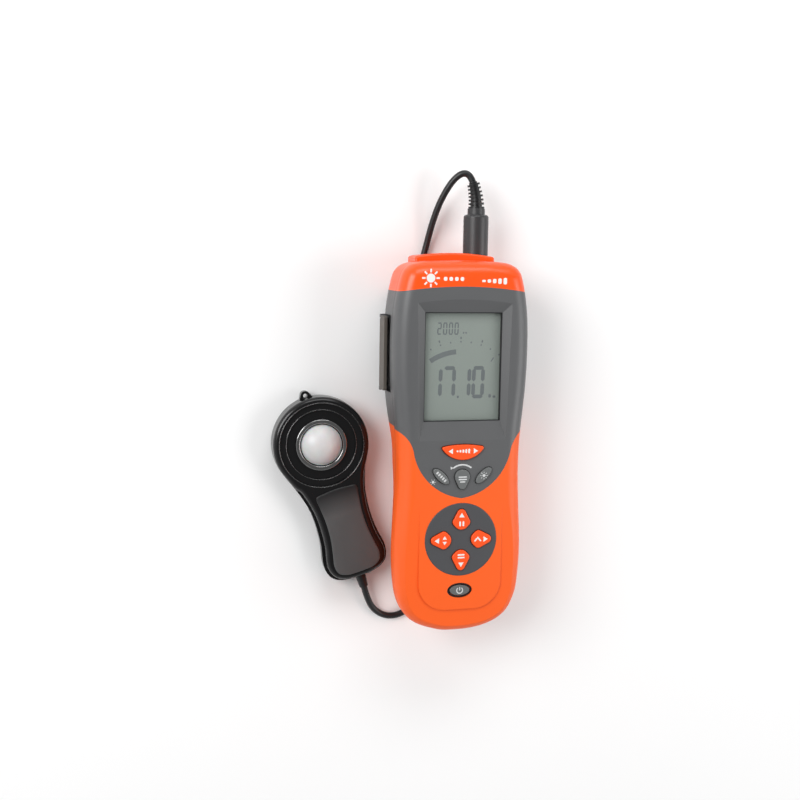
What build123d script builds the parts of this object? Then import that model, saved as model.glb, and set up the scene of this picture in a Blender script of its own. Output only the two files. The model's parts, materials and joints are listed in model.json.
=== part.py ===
from build123d import *
import os
from math import atan2, cos, degrees, pi, radians, sin, tan

# Handheld light meter lying on its back, with its light probe on a cord beside it. Millimetres.
# +X right, +Y towards the plug end, +Z out of the display face, Z = 0 the surface it rests on.
# Meter parts are drawn about X = 0 and moved to METER_X. Probe parts are drawn about the centre of
# the probe's head, with +Y towards the lanyard lug, and turned and moved by PROBE_PLACE.

# ---------------------------------------------------------------- driving dimensions
HALF_LENGTH = 101.5          # half of the meter's length
BACK_Z = 5.0                 # flat back, standing on the feet
SPLIT_Z = 35.0               # parting line between rear and front shells
FACE_Z = 48.0                # display face
WALL = 2.4
EDGE_R = 8.0                 # rounding between face and flanks
KEY_RISE = 1.2               # key tops above the face
GAP = 0.3                    # clearance around moving keys

PROBE_R = 26.3               # probe head
PROBE_TURN = 17.3            # degrees, anticlockwise seen from above
PROBE_LEFT = -95.8           # probe's left edge, from the meter's centre plane
PROBE_Y = -3.0
METER_RIGHT = 36.7           # meter's right edge, from its centre plane

# the origin is midway between the probe's left edge and the meter's right edge
METER_X = -(PROBE_LEFT + METER_RIGHT) / 2
METER_PLACE = Pos(METER_X, 0, 0)
PROBE_PLACE = Pos(METER_X + PROBE_LEFT + PROBE_R, PROBE_Y, 0) * Rot(0, 0, PROBE_TURN)

# right half of the meter's outline at the parting line, from the bottom end up to the corner
CORNER_R = 10.4
CORNER = (22.8, 86.1)
SIDE_POINTS = [
    (0, -HALF_LENGTH), (12.5, -100.3), (21.8, -97.0), (28.9, -91.0), (32.5, -83.5), (34.6, -71.0),
    (35.2, -56.0), (34.5, -40.0), (33.5, -22.0), (33.3, -8.0), (34.1, 9.0), (35.6, 25.0),
    (36.5, 40.0), (METER_RIGHT, 52.0), (36.2, 68.0), (34.9, 79.0),
]
CAP_TOP_Y = 97.6

DISPLAY_Y = 42.1             # centre of the display window
WINDOW = (41.9, 57.3)
PAD_Y = -49.8                # centre of the arrow-key plate
PAD_R = 19.8
PAD_OFFSET = 11.0            # arrow keys from the plate's centre
POWER_Y = -77.7

PLUG_X, PLUG_Z = 13.6, 18.0  # plug axis, parallel to Y
PLUG_FOOT_Y = 99.5
CORD_D = 3.6

STAND_HALF = 16.0
STAND_Y = (17.0, 66.0)       # free end and hinge axis
STAND_HINGE_Z = 7.8
DOOR_HALF = 15.2
DOOR_Y = (-83.0, -19.0)
FLAP_Y = (28.2, 67.8)
FLAP_HINGE = (-37.4, 17.2)   # x, z of the port cover's hinge axis

parts = {}


# ---------------------------------------------------------------- helpers
def box(x, y, z):
    """Box from (low, high) pairs."""
    size = [side[1] - side[0] for side in (x, y, z)]
    return Pos(x[0], y[0], z[0]) * Box(*size, align=(Align.MIN, Align.MIN, Align.MIN))


def tube(radius, low, high, x=0, y=0, bore=0):
    """Cylinder along Z, with an optional bore."""
    ring = Circle(radius) - Circle(bore) if bore else Circle(radius)
    return extrude(Pos(x, y, low) * ring, high - low)


def rod_x(radius, x, y, z):
    """Cylinder along X over the (low, high) pair x."""
    return Pos((x[0] + x[1]) / 2, y, z) * Rot(0, 90, 0) * Cylinder(radius, x[1] - x[0])


def rod_y(radius, y, x, z, top_radius=None):
    """Cylinder or cone along Y over the (low, high) pair y."""
    place = Pos(x, (y[0] + y[1]) / 2, z) * Rot(-90, 0, 0)
    if top_radius is None:
        return place * Cylinder(radius, y[1] - y[0])
    return place * Cone(radius, top_radius, y[1] - y[0])


def upright(face):
    """The same face with its normal along +Z."""
    return -face if face.normal_at().Z < 0 else face


def prism(outline, low, high):
    faces = [upright(face) for face in outline.faces()]
    return extrude([Pos(0, 0, low) * face for face in faces], high - low, dir=(0, 0, 1))


def smooth_step(value, low, high):
    t = min(1, max(0, (value - low) / (high - low)))
    return t * t * (3 - 2 * t)


def top_edges(shape):
    return shape.edges().group_by(Axis.Z)[-1]


def bottom_edges(shape):
    return shape.edges().group_by(Axis.Z)[0]


# ---------------------------------------------------------------- the meter's outer form
def outline_points():
    """Closed outline at the parting line, anticlockwise from the bottom end."""
    corner = [
        (CORNER[0] + CORNER_R * cos(radians(a)), CORNER[1] + CORNER_R * sin(radians(a)))
        for a in (8, 33, 58, 82)
    ]
    half = SIDE_POINTS + corner + [(12.5, 97.2)]
    return half + [(0, CAP_TOP_Y)] + [(-x, y) for x, y in reversed(half[1:])]


OUTLINE = outline_points()
OUTLINE_EDGE = Spline(*OUTLINE, periodic=True).edges()[0]
TANGENTS = [OUTLINE_EDGE.tangent_at(OUTLINE_EDGE.param_at_point(Vector(*point))) for point in OUTLINE]
# outline points where the sections, and so the lofted skins, are divided into patches
BREAKS = [0, 5, 9, 13, 16, 21, 26, 29, 33, 37, len(OUTLINE)]


def section(z, upper, lower):
    """Outline at height z, moved inwards by `upper` at the display and by `lower` at the grip."""
    points = [Vector(x, y) + run.rotate(Axis.Z, 90) * (lower + (upper - lower) * smooth_step(y, -60, 30))
              for (x, y), run in zip(OUTLINE, TANGENTS)]
    points.append(points[0])
    runs = TANGENTS + TANGENTS[:1]
    edges = [Edge.make_spline(points[i:j + 1], tangents=[runs[i], runs[j]]) for i, j in zip(BREAKS, BREAKS[1:])]
    return Pos(0, 0, z) * make_face(edges)


def rounded_levels(inset, top):
    """Levels of the front half: upright flank, then a quarter round up to `top`."""
    radius = EDGE_R - inset
    centre = top - radius
    turns = [radians(a) for a in (0, 32, 56, 75, 90)]
    return [(SPLIT_Z, inset, inset)] + [
        (centre + radius * sin(a), inset + radius * (1 - cos(a)), inset + radius * (1 - cos(a))) for a in turns]


# (height, inset at the display, inset at the grip): deep upper half, boat-shaped grip
REAR_LEVELS = [(SPLIT_Z, 0, 0), (28, 0, 1.7), (18, 0.2, 5.2), (10.5, 2.0, 9.6), (BACK_Z, 7.0, 15.0)]
REAR_CAVITY = [(SPLIT_Z, 2.4, 2.4), (28, 2.4, 4.1), (18, 2.7, 7.7), (11.5, 4.4, 11.6), (7.4, 7.5, 16.0)]


def form(levels):
    return loft([section(*level) for level in levels])


outer_front = form(rounded_levels(0, FACE_Z))
cavity_front = form(rounded_levels(WALL, FACE_Z - WALL))
outer_rear = form(REAR_LEVELS)
cavity_rear = form(REAR_CAVITY)


def cap_zone():
    """Everything above the arched joint between the cap and the cases."""
    arc = ThreePointArc((-60, 75.5), (0, 84.2), (60, 75.5))
    frame = Polyline((60, 75.5), (60, 140), (-60, 140), (-60, 75.5))
    return prism(make_face([arc, *frame.edges()]), -5, 60)


def grip_zone():
    """Everything below the curved joint between the grey face and the grip."""
    shoulder, waist = (37.0, 9.8), (26.3, -3.6)
    curve = [
        Line((60, shoulder[1]), shoulder),
        ThreePointArc(shoulder, (31.6, 6.6), waist),
        ThreePointArc(waist, (17.2, -19.4), (0, -27.4)),
        ThreePointArc((0, -27.4), (-17.2, -19.4), (-waist[0], waist[1])),
        ThreePointArc((-waist[0], waist[1]), (-31.6, 6.6), (-shoulder[0], shoulder[1])),
        Line((-shoulder[0], shoulder[1]), (-60, shoulder[1])),
    ]
    frame = Polyline((-60, shoulder[1]), (-60, -140), (60, -140), (60, shoulder[1]))
    curve = [edge for piece in curve for edge in piece.edges()]
    return prism(make_face([*curve, *frame.edges()]), SPLIT_Z - 5, 60)


CAP_ZONE = cap_zone()
GRIP_ZONE = grip_zone()
REAR_GRIP_ZONE = box((-60, 60), (-140, 9.8), (-5, SPLIT_Z + 5))
front_shell = outer_front - cavity_front
rear_shell = outer_rear - cavity_rear


# ---------------------------------------------------------------- keys
def hull_outline(circles):
    """Rounded outline around (x, y, radius) circles, which `grow` widens evenly."""
    def outline(grow=0.0):
        rings = [Pos(x, y) * Circle(radius + grow) for x, y, radius in circles]
        return make_hull([edge for ring in rings for edge in ring.edges()])
    return outline


# arrow key, a rounded drop pointing to +Y, and middle key, round on top and narrower below
drop_outline = hull_outline([(0, 3.2, 2.4), (-2.5, -1.4, 2.3), (2.5, -1.4, 2.3), (0, -1.3, 4.2)])
shield_outline = hull_outline([(0, 1.2, 4.1), (0, -3.2, 2.2)])


def range_outline(grow=0.0):
    """Wide key: shallow arc on top, deep arc below."""
    upper = ThreePointArc((-11.9, 0.2), (0, 1.5), (11.9, 0.2))
    lower = ThreePointArc((11.9, 0.2), (0, -6.7), (-11.9, 0.2))
    face = fillet(make_face([*upper.edges(), *lower.edges()]).vertices(), 0.9)
    return offset(face, grow) if grow else face


def ellipse_outline(a, b):
    return lambda grow=0.0: Ellipse(a + grow, b + grow).face()


# name: (outline, x, y, turn in degrees, top height)
KEYS = {
    "range_key": (range_outline, 0, 0, 0, FACE_Z + KEY_RISE),
    "log_key": (ellipse_outline(5.6, 2.35), -11.7, -15.3, -45, FACE_Z + KEY_RISE),
    "memory_key": (shield_outline, 0, -17.1, 0, FACE_Z + KEY_RISE),
    "set_key": (ellipse_outline(5.6, 2.35), 11.7, -15.3, 45, FACE_Z + KEY_RISE),
    "up_key": (drop_outline, 0, PAD_Y + PAD_OFFSET, 0, FACE_Z + KEY_RISE),
    "left_key": (drop_outline, -PAD_OFFSET, PAD_Y, 90, FACE_Z + KEY_RISE),
    "down_key": (drop_outline, 0, PAD_Y - PAD_OFFSET, 180, FACE_Z + KEY_RISE),
    "right_key": (drop_outline, PAD_OFFSET, PAD_Y, -90, FACE_Z + KEY_RISE),
    "power_key": (ellipse_outline(5.5, 2.9), 0, POWER_Y, 0, FACE_Z),
}
FLANGE_Z = 43.4              # underside of the key flanges
FLANGE = 1.0                 # flange width and thickness


def key_solid(outline, x, y, turn, top):
    cap = prism(outline(), FLANGE_Z + FLANGE, top)
    cap = fillet(top_edges(cap), 0.5)
    flange = prism(outline(FLANGE), FLANGE_Z, FLANGE_Z + FLANGE)
    return Pos(x, y, 0) * Rot(0, 0, turn) * (cap + flange)


def key_hole(outline, x, y, turn):
    return Pos(x, y, 0) * Rot(0, 0, turn) * prism(outline(GAP), FACE_Z - 8, FACE_Z + 4)


for name, (outline, x, y, turn, top) in KEYS.items():
    parts[name] = key_solid(outline, x, y, turn, top)
KEY_HOLES = Compound([key_hole(*key[:4]) for key in KEYS.values()])

# ---------------------------------------------------------------- screw and foot places
UPPER_SCREWS = [(-22.0, 77.0), (22.0, 77.0)]
LOWER_SCREWS = [(-22.0, -60.0), (22.0, -60.0)]
SCREW_HEAD_Z = 12.0
SCREW_R = 1.3
UPPER_FEET = [(-22.8, 88.0), (22.8, 88.0)]
LOWER_FEET = [(-19.6, -78.4), (19.6, -78.4)]
FOOT_R = 3.8
FOOT_TOP_Z = 11.5
TRIPOD_Y = 76.4
TRIPOD_R = 4.0
TRIPOD_LENGTH = 9.0


def rear_boss(x, y):
    return tube(4.2, BACK_Z + 1, SPLIT_Z, x, y) & outer_rear


def screw_well(x, y):
    return tube(3.0, 0, SCREW_HEAD_Z + 1.8, x, y) + tube(SCREW_R + 0.2, 0, SPLIT_Z, x, y)


def front_boss(x, y):
    return tube(3.2, SPLIT_Z, FACE_Z - 1, x, y) - tube(SCREW_R, SPLIT_Z - 1, 44, x, y)


def screw(x, y, head_z, shank_top, head_r=2.8, shank_r=SCREW_R):
    """Pan-head screw driven upwards, with a cross recess in its head."""
    head = fillet(bottom_edges(tube(head_r, head_z, head_z + 1.8, x, y)), 0.5)
    slot = [Pos(x, y, head_z) * Box(*size, 1.6) for size in ((3.0, 0.7), (0.7, 3.0))]
    return head + tube(shank_r, head_z + 1.8, shank_top, x, y) - slot


# ---------------------------------------------------------------- front pieces
BEZEL_FOOT_Z = 45.4          # lower edge of the display frame's slopes


def bezel_cut():
    """Sloping frame down to the display window, and the window itself."""
    half_w, half_h = WINDOW[0] / 2, WINDOW[1] / 2
    top, foot = DISPLAY_Y + half_h, DISPLAY_Y - half_h
    arch = ThreePointArc((-25.6, 75.6), (0, 77.6), (25.6, 75.6))
    rim = make_face([*arch.edges(), *Polyline((25.6, 75.6), (23.8, 3.6), (-23.8, 3.6), (-25.6, 75.6)).edges()])
    flat_top = ThreePointArc((-half_w, top), (0, top + 0.02), (half_w, top))
    inner = make_face([*flat_top.edges(), *Polyline((half_w, top), (half_w, foot), (-half_w, foot),
                                                    (-half_w, top)).edges()])
    slopes = loft([Pos(0, 0, FACE_Z + 0.01) * rim, Pos(0, 0, BEZEL_FOOT_Z) * inner])
    window = box((-half_w, half_w), (foot, top), (40, BEZEL_FOOT_Z + 0.5))
    return slopes + window


def display_backing():
    """Thicker ring of the case behind the sunken display frame."""
    return box((-26.8, 26.8), (8.4, 73.6), (43.4, FACE_Z - WALL + 0.8))


front_case = front_shell - CAP_ZONE - GRIP_ZONE + (display_backing() & outer_front)
front_case = front_case + [front_boss(x, y) for x, y in UPPER_SCREWS]
parts["front_case"] = front_case - bezel_cut() - KEY_HOLES

PAD_PLATE_Z = (46.3, 48.2)


def lowered_rim():
    """Wedge that sinks the grip's margin, deeper towards the bottom end, and leaves a raised panel."""
    panel = RectangleRounded(45.6, 120, 15)
    panel = prism(Pos(0, -88.2 + 60) * panel, 40, 60)
    slab = Pos(0, -31, FACE_Z) * Rot(0.95, 0, 0) * box((-60, 60), (-90, 0), (0, 6))
    return slab - panel


front_grip = (front_shell & GRIP_ZONE) + [front_boss(x, y) for x, y in LOWER_SCREWS]
front_grip = front_grip - tube(PAD_R, PAD_PLATE_Z[0], FACE_Z + 1, 0, PAD_Y)
front_grip = front_grip - tube(PAD_R - 1.6, FACE_Z - 4, FACE_Z + 1, 0, PAD_Y)
front_grip = front_grip - prism(Pos(0, POWER_Y) * Ellipse(6.9, 4.1).face(), FACE_Z - 1.0, FACE_Z + 1)
parts["front_grip"] = front_grip - KEY_HOLES - lowered_rim()

dpad = fillet(top_edges(tube(PAD_R, *PAD_PLATE_Z, 0, PAD_Y)), 0.4)
parts["arrow_key_plate"] = dpad - KEY_HOLES


# ---------------------------------------------------------------- top cap with its collar
def collar():
    half, front, back = 22.0, 99.6, 93.0
    arch = ThreePointArc((-half, front), (0, HALF_LENGTH), (half, front))
    frame = Polyline((half, front), (half, back), (-half, back), (-half, front))
    body = prism(make_face([*arch.edges(), *frame.edges()]), 9.0, 26.5)
    body = fillet(body.edges().filter_by(Axis.Z).group_by(Axis.Y)[-1], 1.5)
    rims = top_edges(body) + bottom_edges(body)
    return fillet([edge for edge in rims if edge.center().Y > back + 0.5], 1.2)


SOCKET_R = 6.5
SOCKET_Y = (88.0, 99.4)
PLUG_SEAT_R = 7.1            # counterbore in the collar around the plug
top_cap = ((front_shell + rear_shell) & CAP_ZONE) + (collar() - cavity_rear)
top_cap = top_cap + [tube(FOOT_R + 1.4, BACK_Z + 0.5, FOOT_TOP_Z + 1.2, *foot) & outer_rear & CAP_ZONE
                     for foot in UPPER_FEET]
top_cap = top_cap - [tube(FOOT_R, 0, FOOT_TOP_Z, *foot) for foot in UPPER_FEET]
parts["top_cap"] = top_cap - rod_y(SOCKET_R, (85, 104), PLUG_X, PLUG_Z) - rod_y(
    PLUG_SEAT_R, (SOCKET_Y[1], 104), PLUG_X, PLUG_Z)

socket = rod_y(SOCKET_R, SOCKET_Y, PLUG_X, PLUG_Z) - (
    rod_y(5.0, (92.5, 102), PLUG_X, PLUG_Z) - rod_y(3.8, (90, 102), PLUG_X, PLUG_Z))
PIN_CIRCLE_R = 2.2
PIN_PLACES = [(PLUG_X + PIN_CIRCLE_R * cos(pi / 4 + i * pi / 2), PLUG_Z + PIN_CIRCLE_R * sin(pi / 4 + i * pi / 2))
              for i in range(4)]
parts["sensor_socket"] = socket - [rod_y(0.65, (92.5, 102), x, z) for x, z in PIN_PLACES]


# ---------------------------------------------------------------- rear pieces
def port_pocket():
    return box((-60, -31.6), (25.0, 71.0), (13.0, 34.0)) & outer_rear


PORT_RECESS = box((-60, -33.6), (27.5, 68.5), (15.6, 32.6))
JACK_Y = 48.0
JACK_Z = 24.0
JACK_HOLE = box((-36, -30), (JACK_Y - 4.2, JACK_Y + 4.2), (JACK_Z - 2.4, JACK_Z + 2.4))
FLAP_LUGS = [box((FLAP_HINGE[0] - 1.3, -33.6), pair, (FLAP_HINGE[1] - 1.3, FLAP_HINGE[1] + 1.3))
             for pair in ((27.5, 29.6), (66.4, 68.5))]
STAND_POCKET = box((-18.6, 18.6), (14.8, 71.0), (BACK_Z, 12.9))
STAND_RECESS = box((-STAND_HALF - 0.4, STAND_HALF + 0.4), (16.4, 64.0), (0, 8.9)) + box(
    (-STAND_HALF - 0.4, STAND_HALF + 0.4), (61.0, 69.0), (0, 10.9))
THUMB_SCOOP = Pos(0, 15.5, BACK_Z - 4.5) * Sphere(9.0)


rear_case = rear_shell - CAP_ZONE - REAR_GRIP_ZONE
rear_case = rear_case + (STAND_POCKET & outer_rear) + port_pocket()
rear_case = rear_case + [rear_boss(x, y) for x, y in UPPER_SCREWS]
rear_case = rear_case + (tube(TRIPOD_R + 2.0, BACK_Z + 1, BACK_Z + TRIPOD_LENGTH + 1.5, 0, TRIPOD_Y) & outer_rear)
rear_case = rear_case - STAND_RECESS - PORT_RECESS - JACK_HOLE - THUMB_SCOOP
rear_case = rear_case - [screw_well(x, y) for x, y in UPPER_SCREWS]
rear_case = rear_case - tube(TRIPOD_R, 0, BACK_Z + TRIPOD_LENGTH, 0, TRIPOD_Y) + FLAP_LUGS
rear_case = rear_case - rod_y(0.7, (27.0, 69.0), *FLAP_HINGE) - rod_x(1.0, (-18.2, 18.2), STAND_Y[1], STAND_HINGE_Z)
parts["rear_case"] = rear_case

TRAY = box((-15.4, 15.4), (-83.2, -26.6), (BACK_Z + 1, 28.0))
TRAY_ROOM = box((-14.0, 14.0), (-82.0, -28.0), (0, 26.6))
DOOR_SCREW_Y = -22.6
rear_grip = (rear_shell & REAR_GRIP_ZONE) + (TRAY & outer_rear)
rear_grip = rear_grip + [rear_boss(x, y) for x, y in LOWER_SCREWS]
rear_grip = rear_grip + tube(3.2, BACK_Z + 1, 17, 0, DOOR_SCREW_Y)
rear_grip = rear_grip + [tube(FOOT_R + 1.6, BACK_Z, FOOT_TOP_Z + 1.6, *foot) & outer_rear for foot in LOWER_FEET]
rear_grip = rear_grip - TRAY_ROOM - box(
    (-DOOR_HALF - 0.1, DOOR_HALF + 0.1), (DOOR_Y[0] - 0.1, DOOR_Y[1] + 0.1), (0, 7.3))
rear_grip = rear_grip - tube(1.2, 5, 15.5, 0, DOOR_SCREW_Y) - box((-8, 8), (-31, -28.6), (26, 29))
rear_grip = rear_grip - [screw_well(x, y) for x, y in LOWER_SCREWS]
parts["rear_grip"] = rear_grip - [tube(FOOT_R, 0, FOOT_TOP_Z, *foot) for foot in LOWER_FEET]


def battery_door():
    door = box((-DOOR_HALF, DOOR_HALF), DOOR_Y, (BACK_Z, 7.3))
    door = fillet(door.edges().filter_by(Axis.Z), 2.0)
    grooves = [box((-9, 9), (y - 0.6, y + 0.6), (0, BACK_Z + 0.6)) for y in (-79.5, -77.1, -74.7)]
    well = tube(3.0, 0, BACK_Z + 1.4, 0, DOOR_SCREW_Y) + tube(1.4, 0, 9, 0, DOOR_SCREW_Y)
    return door - grooves - well


parts["battery_door"] = battery_door()
parts["battery_door_screw"] = screw(0, DOOR_SCREW_Y, BACK_Z - 0.4, 15.0, 2.6, 1.2)
parts["case_screws"] = Compound([screw(x, y, SCREW_HEAD_Z, 43.0) for x, y in UPPER_SCREWS + LOWER_SCREWS])
parts["rubber_feet"] = Compound([fillet(bottom_edges(tube(FOOT_R, 0, FOOT_TOP_Z, *foot)), 0.8)
                                 for foot in UPPER_FEET + LOWER_FEET])
parts["tripod_insert"] = tube(TRIPOD_R, BACK_Z + 0.2, BACK_Z + TRIPOD_LENGTH, 0, TRIPOD_Y, bore=2.55)


def tilt_stand():
    plate = box((-STAND_HALF, STAND_HALF), (STAND_Y[0], STAND_Y[1]), (5.3, 8.3))
    corners = plate.edges().filter_by(Axis.Z).group_by(Axis.Y)[0]
    plate = fillet(corners, 4.0)
    grooves = [box((-10, 10), (y - 0.7, y + 0.7), (5, 5.8)) for y in (21.5, 24.5, 27.5)]
    barrel = rod_x(2.5, (-STAND_HALF, STAND_HALF), STAND_Y[1], STAND_HINGE_Z)
    bore = rod_x(1.05, (-20, 20), STAND_Y[1], STAND_HINGE_Z)
    return plate - grooves + barrel - bore


parts["tilt_stand"] = tilt_stand()
parts["stand_pin"] = rod_x(1.0, (-18.2, 18.2), STAND_Y[1], STAND_HINGE_Z)


def port_cover():
    x, z = FLAP_HINGE
    plate = box((-38.9, -37.2), FLAP_Y, (z, 28.4))
    plate = fillet(plate.edges().filter_by(Axis.X), 1.2)
    plate = plate - box((-60, 0), (0, 29.9), (0, z + 2.2)) - box((-60, 0), (66.1, 90), (0, z + 2.2))
    barrel = rod_y(1.3, (29.9, 66.1), x, z)
    return plate + barrel - rod_y(0.75, (20, 80), x, z)


parts["port_cover"] = port_cover()
parts["port_cover_pin"] = rod_y(0.7, (27.6, 68.4), *FLAP_HINGE)

# ---------------------------------------------------------------- display and electronics
parts["display_lens"] = box((-23.5, 23.5), (11.0, 73.2), (42.2, 43.4))
parts["lcd_panel"] = box((-22.6, 22.6), (12.0, 72.4), (40.4, 42.1))
parts["backlight_panel"] = box((-22.0, 22.0), (15.0, 69.4), (38.6, 40.3))
parts["contact_strips"] = Compound([box((-21.0, 21.0), pair, (37.8, 40.4)) for pair in ((12.2, 14.4), (70.0, 72.2))])
BOARD_Z = (36.2, 37.8)


def main_board():
    board = Pos(0, -4) * RectangleRounded(58.8, 168, 15)
    board = prism(board, *BOARD_Z)
    return board - [tube(3.9, 30, 44, x, y) for x, y in UPPER_SCREWS + LOWER_SCREWS]


parts["main_board"] = main_board()


def keypad_mat():
    mat = prism(Pos(0, -40) * RectangleRounded(36.4, 88, 4), BOARD_Z[1], BOARD_Z[1] + 1.4)
    domes = [Pos(x, y, BOARD_Z[1] + 1.4) * Cone(2.6, 1.8, 3.2, align=(Align.CENTER, Align.CENTER, Align.MIN))
             for _, x, y, _, _ in KEYS.values()]
    return mat + domes


parts["keypad_mat"] = keypad_mat()
parts["usb_jack"] = box((-33.4, -24.4), (JACK_Y - 3.9, JACK_Y + 3.9), (JACK_Z - 2.1, JACK_Z + 2.1)) - box(
    (-34, -27), (JACK_Y - 3.4, JACK_Y + 3.4), (JACK_Z - 1.6, JACK_Z + 1.6))
parts["port_board"] = box((-24.4, -22.8), (40.5, 53.5), (16.0, 32.0))
parts["battery"] = fillet(box((-13.25, 13.25), (-80.5, -34.0), (7.8, 25.3)).edges().filter_by(Axis.Y), 2.0) + [
    rod_y(2.9, (-34.0, -31.6), x, 16.5) for x in (-6.3, 6.3)]
parts["battery_snap"] = box((-12.5, 12.5), (-31.6, -28.9), (9.0, 24.0))


def battery_lead(x):
    path = FilletPolyline((x, -30, 24), (x, -30, 29.0), (x, -24, 32.5), (x, -24, BOARD_Z[0]), radius=1.6)
    return sweep(Plane(origin=(x, -30, 24), z_dir=(0, 0, 1)) * Circle(0.7), path)


parts["battery_leads"] = Compound([battery_lead(x) for x in (-4.0, 4.0)])

# ---------------------------------------------------------------- plug
RELIEF_Y = (125.5, 139.6)
RELIEF_R = (4.4, 3.3)
plug = rod_y(6.8, (PLUG_FOOT_Y, 122.2), PLUG_X, PLUG_Z)
plug = fillet(plug.edges().group_by(Axis.Y)[-1], 1.6) + rod_y(4.7, (122.2, RELIEF_Y[0]), PLUG_X, PLUG_Z)
parts["plug_barrel"] = plug - rod_y(4.7, (98, 103.2), PLUG_X, PLUG_Z)
parts["plug_shell"] = rod_y(4.7, (93.2, 103.2), PLUG_X, PLUG_Z) - rod_y(4.1, (93, 103.2), PLUG_X, PLUG_Z)
parts["plug_insulator"] = rod_y(4.1, (101.0, 103.2), PLUG_X, PLUG_Z) - [
    rod_y(0.5, (100, 104), x, z) for x, z in PIN_PLACES]
parts["plug_pins"] = Compound([rod_y(0.5, (94.0, 103.2), x, z) for x, z in PIN_PLACES])


def strain_relief():
    """Ribbed sleeve that leans towards the cord along an arc."""
    lean = 2.3
    rise = RELIEF_Y[1] - RELIEF_Y[0]
    bend_r = (rise ** 2 + lean ** 2) / (2 * lean)
    full = 2 * atan2(lean, rise)
    ribs, solid = 7, None
    for i in range(2 * ribs):
        low, high = full * i / (2 * ribs), full * (i + 1) / (2 * ribs)
        middle = (low + high) / 2
        shrink = RELIEF_R[0] + (RELIEF_R[1] - RELIEF_R[0]) * (i + 0.5) / (2 * ribs)
        radius = shrink if i % 2 == 0 else shrink - 1.1
        place = Pos(PLUG_X - bend_r * (1 - cos(middle)), RELIEF_Y[0] + bend_r * sin(middle), PLUG_Z) * Rot(
            0, 0, degrees(middle)) * Rot(-90, 0, 0)
        ring = place * Cylinder(radius, bend_r * (high - low) + 0.05)
        solid = ring if solid is None else solid + ring
    tip = Pos(PLUG_X - lean, RELIEF_Y[1], PLUG_Z) * Rot(0, 0, degrees(full))
    return solid, tip


relief, RELIEF_TIP = strain_relief()
parts["plug_strain_relief"] = relief - rod_y(8.0, (120, RELIEF_Y[0]), PLUG_X, PLUG_Z)


# ---------------------------------------------------------------- probe
HEAD_JOIN = (24.6, -9.3)
HANDLE_POINTS = [(19.9, -21.5), (16.9, -31.5), (15.6, -46.0), (16.7, -58.5), (18.1, -67.0), (15.6, -75.2), (8.0, -78.8)]
PROBE_SPLIT_Z = 7.5
PROBE_TOP_Z = 14.5
PROBE_WALL = 2.0
PROBE_RIM = 1.5              # step from the rear shell in to the front shell
BOOT_Z = 6.5
BOOT_Y = (-86.0, -76.0)


def probe_face(rim=0.0, head_r=PROBE_R):
    """Probe outline, with the handle narrowed by `rim`."""
    join = (HEAD_JOIN[0] * head_r / PROBE_R, HEAD_JOIN[1] * head_r / PROBE_R)
    half = [(x - rim, y + rim * (y < -70)) for x, y in HANDLE_POINTS]
    right = Spline(join, *half, (0, -79.2 + rim), tangents=[(join[1], -join[0]), (-1, 0)])
    left = Spline((0, -79.2 + rim), *[(-x, y) for x, y in reversed(half)], (-join[0], join[1]),
                  tangents=[(-1, 0), (join[1], join[0])])
    arc = ThreePointArc((-join[0], join[1]), (0, head_r), join)
    return make_face([*right.edges(), *left.edges(), *arc.edges()])


def lug():
    """Lanyard lug on the rear shell."""
    body = make_hull([*(Pos(0, 27.6) * Circle(2.6)).edges(), *(Pos(-3.6, 24.0) * Circle(1.0)).edges(),
                      *(Pos(3.6, 24.0) * Circle(1.0)).edges()])
    return prism(body, 3.5, PROBE_SPLIT_Z) - tube(1.15, 0, 9, 0, 27.6)


PROBE_SCREWS = [(-11.0, -66.0), (11.0, -66.0), (-14.0, 15.0), (14.0, 15.0)]
boot_bore = rod_y(2.9, BOOT_Y, 0, BOOT_Z)

rear = prism(probe_face(), 0, PROBE_SPLIT_Z)
rear = fillet(bottom_edges(rear), 2.5)
rear = rear - prism(probe_face(PROBE_WALL, PROBE_R - PROBE_WALL), 2.0, PROBE_SPLIT_Z + 1)
rear = rear + (lug() - tube(PROBE_R - 1, 0, 9)) + [tube(3.0, 1.0, PROBE_SPLIT_Z, x, y) for x, y in PROBE_SCREWS]
rear = rear - [tube(2.3, -1, 2.2, x, y) + tube(1.2, -1, 9, x, y) for x, y in PROBE_SCREWS]
parts["probe_rear_case"] = rear - boot_bore

STEP_RADII = [(23.2, 12.9), (19.3, 11.5)]     # (radius, height of the floor inside it)
DOME_R = 10.9
DOME_SEAT_Z = 11.0
front = prism(probe_face(PROBE_RIM), PROBE_SPLIT_Z, PROBE_TOP_Z)
front = fillet(top_edges(front), 2.6)
front = front - prism(probe_face(PROBE_RIM + PROBE_WALL, PROBE_R - PROBE_WALL), PROBE_SPLIT_Z - 1, 10.0)
front = front + [tube(3.0, PROBE_SPLIT_Z, 11.0, x, y) for x, y in PROBE_SCREWS]
front = front - [tube(radius, floor, 20) for radius, floor in STEP_RADII]
front = front - tube(11.7, DOME_SEAT_Z, 20) - tube(9.2, 5, 20)
parts["probe_front_case"] = front - [tube(1.0, 5, 11.6, x, y) for x, y in PROBE_SCREWS] - boot_bore


def dome():
    """Diffuser: a shallow spherical cap on a thin flange, hollow underneath."""
    rise, base_z = 5.6, 12.4
    ball_r = (DOME_R ** 2 + rise ** 2) / (2 * rise)
    centre = Pos(0, 0, base_z + rise - ball_r)
    above = box((-30, 30), (-30, 30), (base_z, 40))
    cap = (centre * Sphere(ball_r)) & above
    hollow = (centre * Sphere(ball_r - 1.6)) & above
    return cap + tube(11.4, DOME_SEAT_Z, base_z) - hollow - tube(8.6, DOME_SEAT_Z, base_z)


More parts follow.
